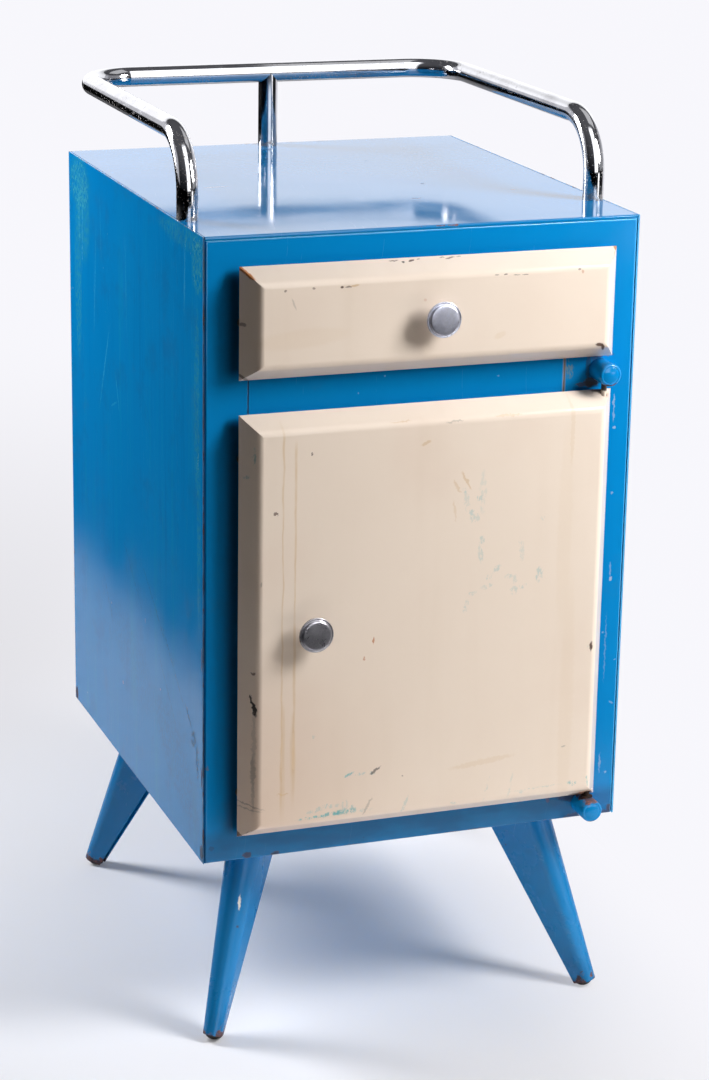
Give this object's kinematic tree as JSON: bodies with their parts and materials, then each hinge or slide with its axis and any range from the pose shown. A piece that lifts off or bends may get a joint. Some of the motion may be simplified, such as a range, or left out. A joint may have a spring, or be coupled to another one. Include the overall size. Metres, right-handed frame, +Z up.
{
  "type": "hospital bedside cabinet",
  "caption": "Sheet-steel ward bedside cabinet with a drawer, a pivot-hung door and a tubular gallery rail, standing on splayed tapered legs.",
  "frame": {"origin": "on the floor, in the middle of the whole object's box in X and Y", "axes": "+Z up; -Y is the front, with the drawer and the door; +X is the hinge side"},
  "size_m": [0.4, 0.491, 0.8272],
  "materials": {
    "painted_blue": "gloss stoving enamel, worn",
    "painted_inside": "semi-gloss paint",
    "cream_enamel": "gloss stoving enamel, worn",
    "chrome": "polished, lightly pitted",
    "polished_aluminium": "turned and polished",
    "plated_steel": "zinc plated",
    "painted_post": "gloss stoving enamel, worn",
    "black_rubber": "matt",
    "catch_plastic": "moulded",
    "ferrite": "ground"
  },
  "bodies": {
    "cabinet": {"back_panel": "painted_blue", "back_panel_screws": "plated_steel", "bottom_panel": "painted_blue", "catch_housing": "catch_plastic", "catch_magnet": "ferrite", "catch_pole_plates": "plated_steel", "catch_screws": "plated_steel", "door_buffers": "black_rubber", "drawer_buffers": "black_rubber", "drawer_deck": "painted_inside", "drawer_runner_left": "painted_inside", "drawer_runner_right": "painted_inside", "face_frame": "painted_blue", "foot_glide_front_left": "black_rubber", "foot_glide_front_right": "black_rubber", "foot_glide_rear_left": "black_rubber", "foot_glide_rear_right": "black_rubber", "hinge_pin_lower": "plated_steel", "hinge_pin_upper": "plated_steel", "hinge_post_lower": "painted_post", "hinge_post_nuts": "plated_steel", "hinge_post_upper": "painted_post", "leg_bolts": "plated_steel", "leg_front_left": "painted_blue", "leg_front_right": "painted_blue", "leg_nuts": "plated_steel", "leg_rear_left": "painted_blue", "leg_rear_right": "painted_blue", "middle_rail": "painted_blue", "rail_nuts": "plated_steel", "rail_rear_post": "chrome", "rail_studs": "plated_steel", "rail_tube": "chrome", "shelf": "painted_inside", "shelf_bracket_left": "painted_inside", "shelf_bracket_right": "painted_inside", "side_panel_left": "painted_blue", "side_panel_right": "painted_blue", "thrust_washer": "plated_steel", "top_panel": "painted_blue"},
    "drawer": {"drawer_back": "painted_inside", "drawer_bottom": "painted_inside", "drawer_front": "cream_enamel", "drawer_front_inner": "painted_inside", "drawer_front_screws": "plated_steel", "drawer_knob": "polished_aluminium", "drawer_knob_screw": "plated_steel", "drawer_side_left": "painted_inside", "drawer_side_right": "painted_inside"},
    "door": {"door_skin": "cream_enamel", "door_inner_panel": "painted_inside", "door_panel_screws": "plated_steel", "door_knob": "polished_aluminium", "door_knob_screw": "plated_steel", "pivot_block_upper": "plated_steel", "pivot_block_lower": "plated_steel", "catch_strike": "plated_steel"}
  },
  "joints": [
    {"name": "drawer_slide", "type": "slide", "parent": "cabinet", "child": "drawer", "axis": [0, -1, 0], "range_m": [0, 0.28]},
    {"name": "door_hinge", "type": "hinge", "parent": "cabinet", "child": "door", "pos_m": [0.1671, -0.2155, 0.4], "axis": [0, 0, 1], "range_deg": [0, 155]}
  ]
}
